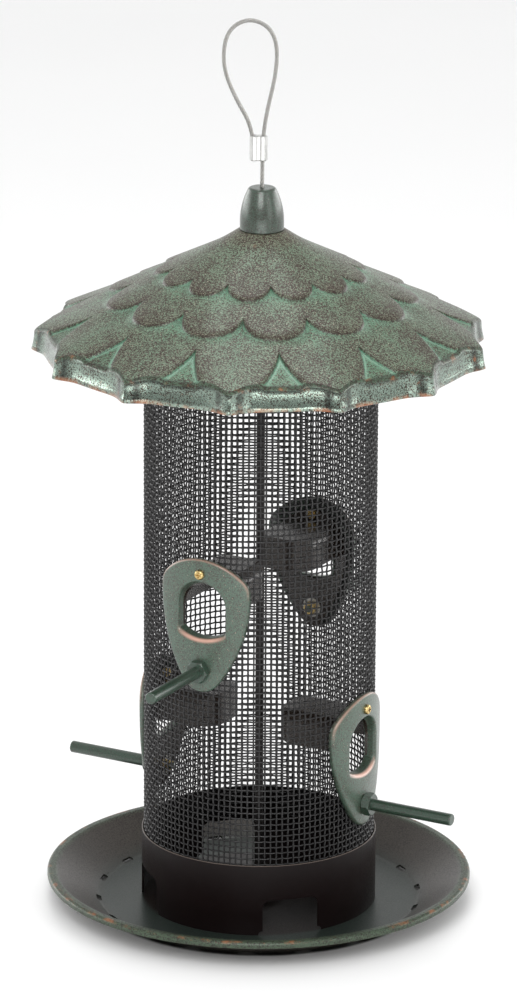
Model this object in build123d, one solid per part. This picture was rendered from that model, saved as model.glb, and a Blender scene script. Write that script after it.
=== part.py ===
from build123d import *
import os
from math import asin, atan, cos, degrees, pi, radians, sin, sqrt, tan

# Hanging mesh-tube bird feeder. Sizes are in millimetres and +Z is up.
# The origin is the centre of the underside of the tray.
# The upper feeding ports face -Y and +Y, the lower ones +X and -X.

# Seed tube of woven wire: every second upright, between two hems, and every second hoop, on four stays
TUBE_R = 67.5
WIRE_D = 1.0
TUBE_L = 345.9
UPRIGHTS = 62
HOOPS = 50
HEM_H = 2.0
STAY_W = 2.4
WIRE_GAP = 1.0

# Tray
TRAY_R = 124.0
TRAY_H = 18.0
TRAY_T = 1.0
FLOOR_R = 94.0
FLOOR_BEND = 4.0
LIP_W = 4.6
LIP_DROP = 3.6
LIP_BEND = 1.0
WELL_R = 13.0
WELL_H = 7.5
WELL_FLARE = 2.0
WELL_BEND = 1.2
SLOTS = 18
SLOT_L = 9.0
SLOT_W = 3.0
SLOT_TURN = 15.0

# Collar between tray and tube
COLLAR_T = 1.0
COLLAR_H = 42.5
ARCH_W = 33.0
ARCH_H = 21.5
ARCH_BEND = 5.0
FOOT_BEND = 2.5
LEDGE_LIFT = 2.0
LEDGE_T = 1.0

# Ring and crossbar on top of the tube
RING_T = 1.0
RING_H = 14.0
RING_LIP = 4.5
BAR_W = 16.0
BAR_T = 1.5

# Tie rod with its nuts and washers
ROD_R = 2.5
ROD_NUT_AF = 8.0
ROD_NUT_H = 4.0
ROD_WASHER_R = 5.0
ROD_WASHER_T = 1.0
ROD_END = 1.0

# Roof: a cone of pressed sheet with a scalloped skirt and three rows of petals
ROOF_R = 132.0
LOBES = 13
SCALLOP_DEPTH = 6.5
SCALLOP_TIP = 6.0
ROOF_TURN = 21.0
ROOF_DEG = 25.5
ROOF_T = 1.2
SKIRT_H = 10.4
SHOULDER = 4.0
STEP = 1.5
PETAL_OPEN = 1.05
RIM_ROOT = 97.0
RIM_SHARE = 0.15
NECK_R = 25.0
NECK_DEG = 34.2

# Finial knob with threaded insert
FINIAL_R = 12.6
FINIAL_TOP_R = 7.5
FINIAL_H = 24.6
FINIAL_BAND = 4.6
FINIAL_EDGE = 2.0
FINIAL_CAP = 2.6
INSERT_R = 5.0
INSERT_L = 10.4
INSERT_IN = 0.4
ROD_REACH = 10.0

# Wire-rope hanger, stop and crimped ferrule
CABLE_R = 1.2
HANGER_TURN = 29.0
STOP_R = 3.6
STOP_L = 6.0
FERRULE_R = 2.7
FERRULE_L = 14.6
FERRULE_UP = 15.6

# Route of the rope above the knob: sideways and up from the middle of the knob's top
LOOP_ROUTE = [
    (0.0, 12.2),
    (0.6, 36.2),
    (8.8, 71.2),
    (6.5, 90.2),
    (-7.2, 96.7),
    (-20.5, 90.2),
    (-22.8, 71.2),
    (-16.2, 53.2),
    (-4.7, 33.2),
    (-4.3, FERRULE_UP),
]

# Feeding ports, drawn about the perch axis
PERCH_Z_LOW = 70.0
PERCH_Z_HIGH = 160.0
PLATE_T = 3.0
PLATE_TOP_R = 28.5
PLATE_LOW_R = 10.0
PLATE_SPAN = 40.5
PLATE_SIDE_R = 90.0
PLATE_SINK = 4.5
PLATE_EDGE = 0.9
MOUTH_W = 34.4
MOUTH_TOP = 52.4
MOUTH_LOW = 15.4
MOUTH_SAG = 4.0
MOUTH_BEND = 4.5
MOUTH_IN = 3.6
MOUTH_DEPTH = 10.0
MOUTH_ROLL = 1.8
SCREW_UP = 57.6
SCREW_R = 1.5
SCREW_HEAD_R = 2.9
SCREW_HEAD_H = 2.1
RECESS_L = 3.2
RECESS_W = 0.7
RECESS_D = 0.9
SCREW_NUT_AF = 5.5
SCREW_NUT_H = 2.4
SCREW_END = 1.2

# Hood behind each port
HOOD_T = 1.5
HOOD_W = 37.0
HOOD_TOP = 54.2
HOOD_LOW = 35.0
HOOD_REACH = 45.0
HOOD_BEND = 7.0
HOOD_NOSE = 13.0
FLANGE_IN = 5.0

# Perches
PERCH_R = 3.5
PERCH_REACH = 56.5
PERCH_TIP = 0.8
PERCH_HEX_AF = 12.0
PERCH_HEX_H = 5.0
STUD_R = 2.0
STUD_END = 1.2
PERCH_NUT_AF = 7.0
PERCH_NUT_H = 3.2
PERCH_WASHER_R = 5.8
PERCH_WASHER_T = 1.0

# Clearances
FIT = 0.05
HOLE = 0.10
RUN = 0.30

# Derived radii and heights
tube_ri = TUBE_R - 2 * WIRE_D
collar_r = TUBE_R + FIT + COLLAR_T
ring_r = TUBE_R + FIT + RING_T
plate_ri = TUBE_R + FIT
plate_ro = plate_ri + PLATE_T
flange_ro = tube_ri - FIT
flange_ri = flange_ro - HOOD_T
ledge_z = TRAY_T + ARCH_H + LEDGE_LIFT
tube_z0 = ledge_z + LEDGE_T
tube_z1 = tube_z0 + TUBE_L
ring_z1 = tube_z1 + RING_T
bar_z1 = ring_z1 + BAR_T
well_z = WELL_H + TRAY_T
slope = tan(radians(ROOF_DEG))
neck_slope = tan(radians(NECK_DEG))
sheet_drop = ROOF_T / cos(radians(ROOF_DEG))
half_lobe = pi / LOBES
scallop_sag = ROOF_R * cos(half_lobe) - (ROOF_R - SCALLOP_DEPTH)
scallop_half_angle = pi / 2 - half_lobe - 2 * atan(scallop_sag / (ROOF_R * sin(half_lobe)))
full_round = (1 + sin(half_lobe)) / cos(half_lobe) / PETAL_OPEN
row_1_tip = ring_r - 5 * STEP
row_1_root = row_1_tip / full_round
row_2_root = ring_r + 3.5 * STEP
row_2_tip = row_2_root * full_round
cone_rim_z = ring_z1 + RUN + sheet_drop - STEP - slope * (ROOF_R - ring_r)
roof_z0 = cone_rim_z - SKIRT_H
seat_r = FINIAL_R + 2 * RUN
seat_z = cone_rim_z + slope * (ROOF_R - NECK_R) + 2 * STEP + neck_slope * (NECK_R - seat_r)
rod_z0 = WELL_H - ROD_WASHER_T - ROD_NUT_H - ROD_END
rod_z1 = seat_z + ROD_REACH
knob_z1 = seat_z + FINIAL_H
stop_z1 = knob_z1 - FINIAL_CAP - HOLE
stop_z0 = stop_z1 - STOP_L

PORTS = [
    ("upper_front", 0.0, PERCH_Z_HIGH),
    ("lower_right", 90.0, PERCH_Z_LOW),
    ("upper_back", 180.0, PERCH_Z_HIGH),
    ("lower_left", 270.0, PERCH_Z_LOW),
]


def turned(outline):
    """Solid of revolution about Z from a closed wire of radius and height."""
    return revolve(make_face(outline), Axis.Z)


def outline(points, radii=None):
    """Closed wire in the XZ plane through (radius, height) points with corner radii."""
    spots = [(r, 0, z) for r, z in points]
    if radii is None:
        return Wire(Polyline(*spots, close=True).edges())
    return Wire(FilletPolyline(*spots, radius=radii, close=True).edges())


def sheet(points, bends, t):
    """Turned sheet of thickness t on the left of a path; bends are the inside radii."""
    n = len(points)
    side = []
    for i in range(n):
        a = points[max(i - 1, 0)]
        b = points[i]
        c = points[min(i + 1, n - 1)]
        u = (b[0] - a[0], b[1] - a[1]) if i > 0 else (c[0] - b[0], c[1] - b[1])
        v = (c[0] - b[0], c[1] - b[1]) if i < n - 1 else u
        lu = sqrt(u[0] ** 2 + u[1] ** 2)
        lv = sqrt(v[0] ** 2 + v[1] ** 2)
        nu = (-u[1] / lu, u[0] / lu)
        nv = (-v[1] / lv, v[0] / lv)
        k = t / (1 + nu[0] * nv[0] + nu[1] * nv[1])
        turn = u[0] * v[1] - u[1] * v[0]
        side.append((b[0] + k * (nu[0] + nv[0]), b[1] + k * (nu[1] + nv[1]), turn))
    under = [0.0]
    over = [0.0]
    for bend, (_, _, turn) in zip(bends, side[1:-1]):
        under.append(bend + t if turn > 0 else bend)
        over.append(bend if turn > 0 else bend + t)
    under.append(0.0)
    over.append(0.0)
    spots = list(points) + [(r, z) for r, z, _ in reversed(side)]
    return turned(outline(spots, under + over[::-1]))


def tube(r_in, r_out, z0, z1):
    """Plain round tube about Z."""
    return turned(outline([(r_in, z0), (r_out, z0), (r_out, z1), (r_in, z1)]))


def drum(r, z0, z1):
    """Plain round bar about Z."""
    return Pos(0, 0, z0) * Cylinder(r, z1 - z0, align=(Align.CENTER, Align.CENTER, Align.MIN))


def hexagon(af, z0, z1):
    """Hexagonal bar about Z, measured across its flats."""
    face = RegularPolygon(af / 2, 6, major_radius=False)
    return Pos(0, 0, z0) * extrude(face, z1 - z0)


def nut(af, bore, z0, z1):
    """Hexagonal nut about Z with bevelled corners."""
    edge = 0.15 * af
    crown = af / 2 + edge
    cone = outline([(0, z0), (af / 2, z0), (crown, z0 + edge), (crown, z1 - edge), (af / 2, z1), (0, z1)])
    return (hexagon(af, z0, z1) & turned(cone)) - drum(bore, z0 - 1, z1 + 1)


def washer(bore, r, z0, z1):
    """Flat washer about Z."""
    return drum(r, z0, z1) - drum(bore, z0 - 1, z1 + 1)


def outward(shape):
    """Lay a shape made along +Z so that it points along -Y, its own -Y side up."""
    return Rot(90, 0, 0) * shape


def placed(shape, angle, z):
    """Put a front port's piece at its place round the tube."""
    return Rot(0, 0, angle) * Pos(0, 0, z) * shape


def arc_ring(end_r, mid_r, turn):
    """Flat face edged by a ring of arcs from end to end; turn gives an arc's middle, from -Y."""
    edges = []
    for i in range(LOBES):
        mid = radians(turn) - pi / 2 + 2 * i * half_lobe
        ends = [(end_r * cos(mid + s * half_lobe), end_r * sin(mid + s * half_lobe)) for s in (-1, 1)]
        edges.append(ThreePointArc(ends[0], (mid_r * cos(mid), mid_r * sin(mid)), ends[1]).edge())
    return make_face(Wire(edges))


def petals(tip, root, turn):
    """Flat face with a ring of round petals from root to tip radius."""
    return arc_ring(root, tip, turn)


def rays(tip, root, half_width, turn):
    """Flat star face with blunt rays; half_width is half a ray's width at its tip, as an angle."""
    spots = []
    for i in range(LOBES):
        mid = radians(turn) - pi / 2 + 2 * i * half_lobe
        for r, a in ((tip, mid - half_width), (tip, mid + half_width), (root, mid + half_lobe)):
            spots.append((r * cos(a), r * sin(a)))
    return make_face(Wire(Polyline(*spots, close=True).edges()))


def scallops(tip, root, bend, turn):
    """Flat face with a ring of hollow scallops down to the root radius and rounded points between them."""
    reach = tip + bend * (1 / sin(scallop_half_angle) - 1)
    face = arc_ring(reach, root, turn + 180 / LOBES)
    return fillet(face.vertices(), bend)


# Tray with its rolled lip, drain slots and the raised well for the nut
lip_r = TRAY_R - TRAY_T
tray_path = [
    (ROD_R + HOLE, WELL_H),
    (WELL_R, WELL_H),
    (WELL_R + WELL_FLARE, 0),
    (FLOOR_R, 0),
    (TRAY_R - LIP_W, TRAY_H - TRAY_T),
    (lip_r, TRAY_H - TRAY_T),
    (lip_r, TRAY_H - LIP_DROP),
]
tray = sheet(tray_path, [WELL_BEND, WELL_BEND, FLOOR_BEND, LIP_BEND, LIP_BEND], TRAY_T)
slot = extrude(SlotOverall(SLOT_L, SLOT_W, rotation=90), TRAY_H)
for i in range(SLOTS):
    tray -= Rot(0, 0, SLOT_TURN + i * 360 / SLOTS) * Pos(FLOOR_R, 0, -TRAY_T) * slot

# Collar with four arches and the inner ledge that carries the tube
collar_z1 = TRAY_T + COLLAR_H
collar = tube(collar_r - COLLAR_T, collar_r, TRAY_T, collar_z1)
collar = chamfer(collar.edges().group_by(Axis.Z)[-1], 0.3 * COLLAR_T)
half = ARCH_W / 2
with BuildSketch(Plane.XZ) as arch_sketch:
    with BuildLine():
        Line((-half - FOOT_BEND, -1), (-half - FOOT_BEND, 0))
        RadiusArc((-half - FOOT_BEND, 0), (-half, FOOT_BEND), FOOT_BEND, short_sagitta=True)
        FilletPolyline(
            (-half, FOOT_BEND),
            (-half, ARCH_H),
            (half, ARCH_H),
            (half, FOOT_BEND),
            radius=ARCH_BEND,
        )
        RadiusArc((half, FOOT_BEND), (half + FOOT_BEND, 0), FOOT_BEND, short_sagitta=True)
        Line((half + FOOT_BEND, 0), (half + FOOT_BEND, -1))
        Line((half + FOOT_BEND, -1), (-half - FOOT_BEND, -1))
    make_face()
arch = Pos(0, 0, TRAY_T) * extrude(arch_sketch.sketch, 2 * TUBE_R)
for i in range(4):
    collar -= Rot(0, 0, 45 + 90 * i) * arch
collar += tube(tube_ri, collar_r - COLLAR_T / 2, ledge_z, tube_z0)

# Ring over the tube's top edge, and the crossbar that the tie rod pulls down on it
ring_path = [
    (tube_ri - RING_LIP, ring_z1),
    (tube_ri - RING_LIP, tube_z1),
    (ring_r - RING_T, tube_z1),
    (ring_r - RING_T, ring_z1 - RING_H),
    (ring_r, ring_z1 - RING_H),
    (ring_r, ring_z1),
]
top_ring = turned(outline(ring_path))
bar_end = tube_ri - RUN
bar = extrude(Rectangle(2 * bar_end, BAR_W) & Circle(bar_end), BAR_T)
crossbar = Pos(0, 0, ring_z1) * bar - drum(ROD_R + HOLE, ring_z1 - 1, bar_z1 + 1)

# Tie rod, its four nuts and its two washers
tie_rod = drum(ROD_R, rod_z0, rod_z1)
tie_rod = chamfer(tie_rod.edges(), 0.2 * ROD_R)
bore = ROD_R + FIT
low_z = WELL_H - ROD_WASHER_T
rod_nuts = [
    nut(ROD_NUT_AF, bore, low_z - ROD_NUT_H, low_z),
    nut(ROD_NUT_AF, bore, well_z, well_z + ROD_NUT_H),
    nut(ROD_NUT_AF, bore, ring_z1 - ROD_NUT_H, ring_z1),
    nut(ROD_NUT_AF, bore, bar_z1 + ROD_WASHER_T, bar_z1 + ROD_WASHER_T + ROD_NUT_H),
]
rod_washers = [
    washer(bore, ROD_WASHER_R, low_z, WELL_H),
    washer(bore, ROD_WASHER_R, bar_z1, bar_z1 + ROD_WASHER_T),
]

# Roof: the same stack of cones twice, the inner one a sheet thinner all round
def roof_mass(skin, drop):
    """Solid under the roof's skin, pulled in by skin and down by drop."""
    rim = cone_rim_z - drop
    edge = ROOF_R - skin
    base = roof_z0 - skin

    def cone(r, rows):
        return rim + slope * (ROOF_R - r) + rows * STEP

    def blunt_cone(r, rows, shoulder):
        """Cone with a flat top inside the neck and a rounded shoulder."""
        flat = cone(NECK_R, rows)
        line = [(0, base), (r, base), (r, cone(r, rows)), (NECK_R, flat), (0, flat)]
        return outline(line, [0, 0, shoulder, 0, 0] if shoulder else None)

    low = blunt_cone(edge, -1, SHOULDER - skin)
    rim_row = blunt_cone(edge, 0, SHOULDER - skin)
    middle = blunt_cone(row_2_tip + STEP, 1, 0)
    top = seat_z - skin
    neck = seat_r - skin * tan(radians(NECK_DEG / 2))
    join_r = (top + neck_slope * neck - cone(0, 2)) / (neck_slope - slope)
    foot = row_1_tip + STEP
    high = outline(
        [(0, base), (foot, base), (foot, cone(foot, 2)), (join_r, cone(join_r, 2)), (neck, top), (0, top)],
        [0, 0, 0, NECK_R, 0, 0],
    )
    height = seat_z - base + STEP
    half_turn = ROOF_TURN + 180 / LOBES
    skirt = scallops(edge, edge - SCALLOP_DEPTH, SCALLOP_TIP - skin, ROOF_TURN)
    ray = RIM_SHARE * half_lobe - skin / ROOF_R
    rows = [
        (low, skirt),
        (rim_row, skirt & rays(ROOF_R + SCALLOP_TIP, RIM_ROOT - 2 * skin, ray, ROOF_TURN)),
        (middle, petals(row_2_tip - skin, row_2_root - skin, half_turn)),
        (high, petals(row_1_tip - skin, row_1_root - skin, ROOF_TURN)),
    ]
    solids = [turned(line) & Pos(0, 0, base) * extrude(face, height) for line, face in rows]
    return solids[0] + solids[1] + solids[2] + solids[3]


roof = roof_mass(0, 0) - roof_mass(ROOF_T, sheet_drop)
roof -= drum(ROD_R + RUN, roof_z0, seat_z + 1)

# Finial knob, hollow for the stop and the threaded insert
with BuildLine(Plane.XZ) as knob_line:
    Polyline((0, 0), (FINIAL_R, 0), (FINIAL_R, FINIAL_BAND))
    side_arc = TangentArc((FINIAL_R, FINIAL_BAND), (FINIAL_TOP_R, FINIAL_H), tangent=(0, 1))
    Polyline((FINIAL_TOP_R, FINIAL_H), (0, FINIAL_H), (0, 0))
knob = revolve(make_face(knob_line.wires()[0]), Axis.Z)
knob = fillet(knob.edges().group_by(Axis.Z)[-1], FINIAL_EDGE)
knob = chamfer(knob.edges().group_by(Axis.Z)[0], 0.3 * FINIAL_EDGE)
finial = Pos(0, 0, seat_z) * knob
finial -= drum(INSERT_R + FIT, seat_z - 1, knob_z1 - FINIAL_CAP)
finial -= drum(CABLE_R + RUN, seat_z, knob_z1 + 1)
insert_z0 = seat_z + INSERT_IN
thread_insert = washer(ROD_R + FIT, INSERT_R, insert_z0, insert_z0 + INSERT_L)

# Wire rope: up from the stop through the ferrule, round the loop and back into it
cable_points = [(0.0, stop_z0 + 0.2 * STOP_L)]
cable_points += [(u, knob_z1 + up) for u, up in LOOP_ROUTE]
cable_radii = []
for i in range(1, len(cable_points) - 1):
    a = Vector(*cable_points[i - 1])
    b = Vector(*cable_points[i])
    c = Vector(*cable_points[i + 1])
    bend = radians((b - a).get_angle(c - b))
    cable_radii.append(0.45 * min((b - a).length, (c - b).length) / tan(bend / 2))
print("cable bend radii", [round(r, 1) for r in cable_radii])
cable_spots = [(u, 0, z) for u, z in cable_points]
cable_line = FilletPolyline(*cable_spots, radius=cable_radii)
cable_path = Wire(cable_line.edges())
cable = sweep(Plane(cable_path @ 0, z_dir=cable_path % 0) * Circle(CABLE_R), cable_path)
print("cable length", round(cable_path.length, 1))
stop = drum(STOP_R, stop_z0, stop_z1) - cable
ferrule_u = [(LOOP_ROUTE[i][0] + LOOP_ROUTE[i + 1][0]) / 2 for i in (0, -2)]
sleeve = Rectangle(ferrule_u[0] - ferrule_u[1], 1.5 * FERRULE_R)
sleeve = Pos(sum(ferrule_u) / 2, 0) * sleeve
for u in ferrule_u:
    sleeve += Pos(u, 0) * Circle(FERRULE_R)
ferrule = Pos(0, 0, knob_z1 + FERRULE_UP) * extrude(sleeve, FERRULE_L)
ferrule = chamfer(ferrule.edges().filter_by(Plane.XY), 0.2 * FERRULE_R) - cable
hanger = Rot(0, 0, HANGER_TURN)


def egg(inset, sink):
    """Egg-shaped face in the XZ plane round the perch axis, pulled in by inset."""
    top_r = PLATE_TOP_R - inset
    low_r = PLATE_LOW_R - inset + sink
    side = PLATE_SIDE_R - inset
    rise = (side - low_r) ** 2 - (side - top_r) ** 2
    up = (rise + PLATE_SPAN**2) / (2 * PLATE_SPAN)
    out = sqrt((side - low_r) ** 2 - up**2)
    low = Vector(0, -PLATE_SINK)
    top = Vector(0, PLATE_SPAN - PLATE_SINK)
    edges = []
    spots = []
    for s in (1, -1):
        hub = Vector(-s * out, up - PLATE_SINK)
        high_end = hub + (top - hub).normalized() * side
        low_end = hub + (low - hub).normalized() * side
        middle = hub + ((high_end + low_end) * 0.5 - hub).normalized() * side
        edges.append(ThreePointArc(high_end, middle, low_end).edge())
        spots.append((high_end, low_end))
    edges.append(ThreePointArc(spots[0][0], top + Vector(0, top_r), spots[1][0]).edge())
    edges.append(ThreePointArc(spots[0][1], low - Vector(0, low_r), spots[1][1]).edge())
    return Plane.XZ * make_face(Wire(edges))


def mouth_face(inset, y):
    """D-shaped face of a port's mouth at depth y, pulled in by inset."""
    w = MOUTH_W / 2 - inset
    top = MOUTH_TOP - inset
    low = MOUTH_LOW + inset
    edges = [
        Line((-w, low + MOUTH_SAG), (-w, top - w)),
        ThreePointArc((-w, top - w), (0, top), (w, top - w)),
        Line((w, top - w), (w, low + MOUTH_SAG)),
        ThreePointArc((w, low + MOUTH_SAG), (0, low), (-w, low + MOUTH_SAG)),
    ]
    face = make_face(Wire([e.edge() for e in edges]))
    corners = face.vertices().sort_by(Axis.Y)[:2]
    return Plane.XZ.offset(-y) * fillet(corners, MOUTH_BEND - inset)


# One port, facing -Y: egg plate, mouth, hood, screw, perch and their nuts
band = 4 * PLATE_TOP_R
shell = tube(plate_ri, plate_ro, -band, band)
mouth_y = -plate_ro - RUN
mouth = loft([mouth_face(0, mouth_y), mouth_face(MOUTH_IN, mouth_y + MOUTH_DEPTH)], ruled=True)
screw_way = Pos(0, 0, SCREW_UP) * outward(drum(SCREW_R + HOLE, 0, 2 * TUBE_R))
stud_way = outward(drum(STUD_R + HOLE, 0, 2 * TUBE_R))
plate = extrude(egg(0, 0), 2 * TUBE_R) & shell
rim_edges = [
    e for e in plate.edges() if abs(sqrt(e.center().X ** 2 + e.center().Y ** 2) - plate_ro) < 0.2 * PLATE_T
]
plate = fillet(rim_edges, PLATE_EDGE)
plate = plate - mouth
lip_edges = [
    e
    for e in plate.edges()
    if abs(sqrt(e.center().X ** 2 + e.center().Y ** 2) - plate_ro) < 0.2 * PLATE_T
    and MOUTH_LOW - 1 < e.center().Z < MOUTH_TOP + 1
    and abs(e.center().X) < MOUTH_W / 2 + 1
]
plate = fillet(lip_edges, MOUTH_ROLL) - screw_way - stud_way

flange = extrude(egg(FLANGE_IN, 0.4 * FLANGE_IN), 2 * TUBE_R) & tube(flange_ri, flange_ro, -band, band)


def hood_mass(skin):
    """Scoop behind the mouth: an arched bar with a rounded nose, pulled in by skin."""
    w = HOOD_W / 2 - skin
    low = HOOD_LOW if skin == 0 else HOOD_LOW - HOOD_NOSE
    front = [(-w, low), (w, low), (w, HOOD_TOP - skin), (-w, HOOD_TOP - skin)]
    spots = [(x, 0, z) for x, z in front]
    bend = HOOD_BEND - skin
    face = make_face(Wire(FilletPolyline(*spots, radius=[0, 0, bend, bend], close=True).edges()))
    bar = extrude(face, 2 * TUBE_R, dir=(0, -1, 0))
    nose_y = -flange_ro + HOOD_REACH - skin
    plan = [(-w, -2 * TUBE_R), (w, -2 * TUBE_R), (w, nose_y), (-w, nose_y)]
    nose = HOOD_NOSE - skin
    sole = make_face(Wire(FilletPolyline(*plan, radius=[0, 0, nose, nose], close=True).edges()))
    return bar & extrude(sole, HOOD_TOP + skin)


scoop = (hood_mass(0) - hood_mass(HOOD_T)) & drum(flange_ri + HOOD_T / 2, 0, 2 * HOOD_TOP)
hood = flange + scoop - mouth - screw_way - stud_way
hood = hood - (hood_mass(HOOD_T) & drum(flange_ri, 0, 2 * HOOD_TOP))

head = drum(SCREW_HEAD_R, plate_ro, plate_ro + SCREW_HEAD_H)
head = fillet(head.edges().group_by(Axis.Z)[-1], 0.6 * SCREW_HEAD_H)
nut_sag = flange_ri - sqrt(flange_ri**2 - (0.6 * SCREW_NUT_AF) ** 2)
screw_nut_r1 = flange_ri - nut_sag - FIT
screw_nut_r0 = screw_nut_r1 - SCREW_NUT_H
screw = head + drum(SCREW_R, screw_nut_r0 - SCREW_END, plate_ro)
for turn in (0, 90):
    cut = Box(RECESS_L, RECESS_W, 2 * RECESS_D)
    screw -= Pos(0, 0, plate_ro + SCREW_HEAD_H) * Rot(0, 0, turn) * cut
screw = Pos(0, 0, SCREW_UP) * outward(screw)
screw_nut = Pos(0, 0, SCREW_UP) * outward(nut(SCREW_NUT_AF, SCREW_R + FIT, screw_nut_r0, screw_nut_r1))

washer_sag = flange_ri - sqrt(flange_ri**2 - PERCH_WASHER_R**2)
washer_r1 = flange_ri - washer_sag - FIT
washer_r0 = washer_r1 - PERCH_WASHER_T
perch_nut_r0 = washer_r0 - PERCH_NUT_H
perch_rod = drum(PERCH_R, plate_ro, plate_ro + PERCH_REACH)
perch_rod = fillet(perch_rod.edges().group_by(Axis.Z)[-1], PERCH_TIP)
perch = perch_rod + nut(PERCH_HEX_AF, PERCH_R - FIT, plate_ro, plate_ro + PERCH_HEX_H)
perch += drum(PERCH_R, plate_ro, plate_ro + PERCH_HEX_H)
perch += drum(STUD_R, perch_nut_r0 - STUD_END, plate_ro)
perch = outward(perch)
perch_washer = outward(washer(STUD_R + FIT, PERCH_WASHER_R, washer_r0, washer_r1))
perch_nut = outward(nut(PERCH_NUT_AF, STUD_R + FIT, perch_nut_r0, washer_r0))

# Woven wire: round uprights on the inside, square hoops on the outside, both cut short round the ports' holes
upright_r = TUBE_R - 1.5 * WIRE_D
hoop_r = TUBE_R - 0.5 * WIRE_D
hoop_wire_r = 0.5 * WIRE_D - FIT


def upright_gap(x):
    """Lowest and highest end of the gap in an upright wire that passes a port at x, or None."""
    w = MOUTH_W / 2
    if abs(x) >= w + WIRE_GAP:
        return None
    low = MOUTH_LOW - WIRE_GAP
    high = MOUTH_TOP - w + sqrt(max(w**2 - x**2, 0)) + WIRE_GAP
    if abs(x) < STUD_R + WIRE_GAP:
        low = -STUD_R - WIRE_GAP
    if abs(x) < SCREW_R + WIRE_GAP:
        high = SCREW_UP + SCREW_R + WIRE_GAP
    return low, high


def hoop_gap(up):
    """Half the width of the gap in a hoop that passes a port at height up, or 0."""
    w = MOUTH_W / 2
    if abs(up) < STUD_R + WIRE_GAP:
        return STUD_R + WIRE_GAP
    if abs(up - SCREW_UP) < SCREW_R + WIRE_GAP:
        return SCREW_R + WIRE_GAP
    if not MOUTH_LOW - WIRE_GAP < up < MOUTH_TOP + WIRE_GAP:
        return 0
    return sqrt(max(w**2 - max(up - MOUTH_TOP + w, 0) ** 2, 0)) + WIRE_GAP


hem_z = [tube_z0, tube_z1 - HEM_H]
hems = [tube(tube_ri - FIT, upright_r + 0.5 * WIRE_D + FIT, z, z + HEM_H) for z in hem_z]
uprights = []
for i in range(UPRIGHTS):
    turn = (i + 0.5) * 360 / UPRIGHTS
    ends = [tube_z0 + HEM_H / 2, tube_z1 - HEM_H / 2]
    for _, angle, z in PORTS:
        away = radians(turn - angle)
        gap = upright_gap(upright_r * sin(away)) if cos(away) > 0 else None
        if gap:
            ends[1:1] = [z + gap[0], z + gap[1]]
    for low, high in zip(ends[::2], ends[1::2]):
        uprights.append(Rot(0, 0, turn) * Pos(0, -upright_r, 0) * drum(WIRE_D / 2, low, high))
mesh_tube = hems[0].fuse(hems[1], *uprights)

stay_t = WIRE_D - FIT / 2
stay = Pos(0, -hoop_r, tube_z0) * Box(STAY_W, stay_t, TUBE_L, align=(Align.CENTER, Align.CENTER, Align.MIN))
stays = [Rot(0, 0, 45 + 90 * i) * stay for i in range(4)]
hoop_z0 = tube_z0 + HEM_H + WIRE_D
hoop_step = (TUBE_L - 2 * HEM_H - 2 * WIRE_D) / (HOOPS - 1)
hoops = []
for i in range(HOOPS):
    z = hoop_z0 + i * hoop_step
    gaps = []
    for _, angle, perch_z in PORTS:
        half_gap = hoop_gap(z - perch_z)
        if half_gap:
            gaps.append((angle, degrees(asin(half_gap / hoop_r))))
    if not gaps:
        hoops.append(tube(hoop_r - hoop_wire_r, hoop_r + hoop_wire_r, z - hoop_wire_r, z + hoop_wire_r))
    for k, (angle, half) in enumerate(gaps):
        after, after_half = gaps[(k + 1) % len(gaps)]
        sweep_deg = (after - angle) % 360 - half - after_half
        end = Pos(hoop_r, 0, z) * Rot(90, 0, 0) * Rectangle(2 * hoop_wire_r, 2 * hoop_wire_r)
        hoops.append(Rot(0, 0, angle + half - 90) * revolve(end, Axis.Z, revolution_arc=sweep_deg))
mesh_hoops = stays[0].fuse(*stays[1:], *hoops)

nodes = {
    "tray": tray,
    "base_collar": collar,
    "mesh_tube": mesh_tube,
    "mesh_hoops": mesh_hoops,
    "top_ring": top_ring,
    "crossbar": crossbar,
    "tie_rod": tie_rod,
    "rod_nuts": Compound(children=rod_nuts),
    "rod_washers": Compound(children=rod_washers),
    "roof": roof,
    "finial_knob": finial,
    "thread_insert": thread_insert,
    "hanger_cable": hanger * cable,
    "cable_stop": hanger * stop,
    "crimp_ferrule": hanger * ferrule,
    "port_screws": Compound(children=[placed(screw, a, z) for _, a, z in PORTS]),
    "port_screw_nuts": Compound(children=[placed(screw_nut, a, z) for _, a, z in PORTS]),
    "perch_washers": Compound(children=[placed(perch_washer, a, z) for _, a, z in PORTS]),
    "perch_nuts": Compound(children=[placed(perch_nut, a, z) for _, a, z in PORTS]),
}
for name, angle, z in PORTS:
    nodes[name + "_port_plate"] = placed(plate, angle, z)
    nodes[name + "_port_hood"] = placed(hood, angle, z)
    nodes[name + "_perch"] = placed(perch, angle, z)

os.makedirs("parts", exist_ok=True)
for name, shape in nodes.items():
    export_step(shape, f"parts/{name}.step")
    box = shape.bounding_box()
    print(name, len(shape.solids()), round(shape.volume, 1), box.min, box.max)
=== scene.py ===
from math import cos, pi, radians, sin, tan

import bpy
import numpy as np
from mathutils import Matrix, Vector


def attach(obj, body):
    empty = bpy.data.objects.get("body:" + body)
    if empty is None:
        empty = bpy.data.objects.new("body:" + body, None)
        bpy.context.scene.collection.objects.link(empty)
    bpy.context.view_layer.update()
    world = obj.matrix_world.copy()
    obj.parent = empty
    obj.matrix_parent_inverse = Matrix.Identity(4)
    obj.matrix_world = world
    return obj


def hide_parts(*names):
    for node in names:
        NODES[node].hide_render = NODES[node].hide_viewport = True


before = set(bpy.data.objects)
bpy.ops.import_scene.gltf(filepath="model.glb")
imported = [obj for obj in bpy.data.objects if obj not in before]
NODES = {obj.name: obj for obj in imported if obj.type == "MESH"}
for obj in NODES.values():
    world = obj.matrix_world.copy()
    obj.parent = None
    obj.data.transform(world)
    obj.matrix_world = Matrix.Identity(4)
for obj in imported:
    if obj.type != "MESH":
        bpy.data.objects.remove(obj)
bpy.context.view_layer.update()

MM = 0.001

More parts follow.
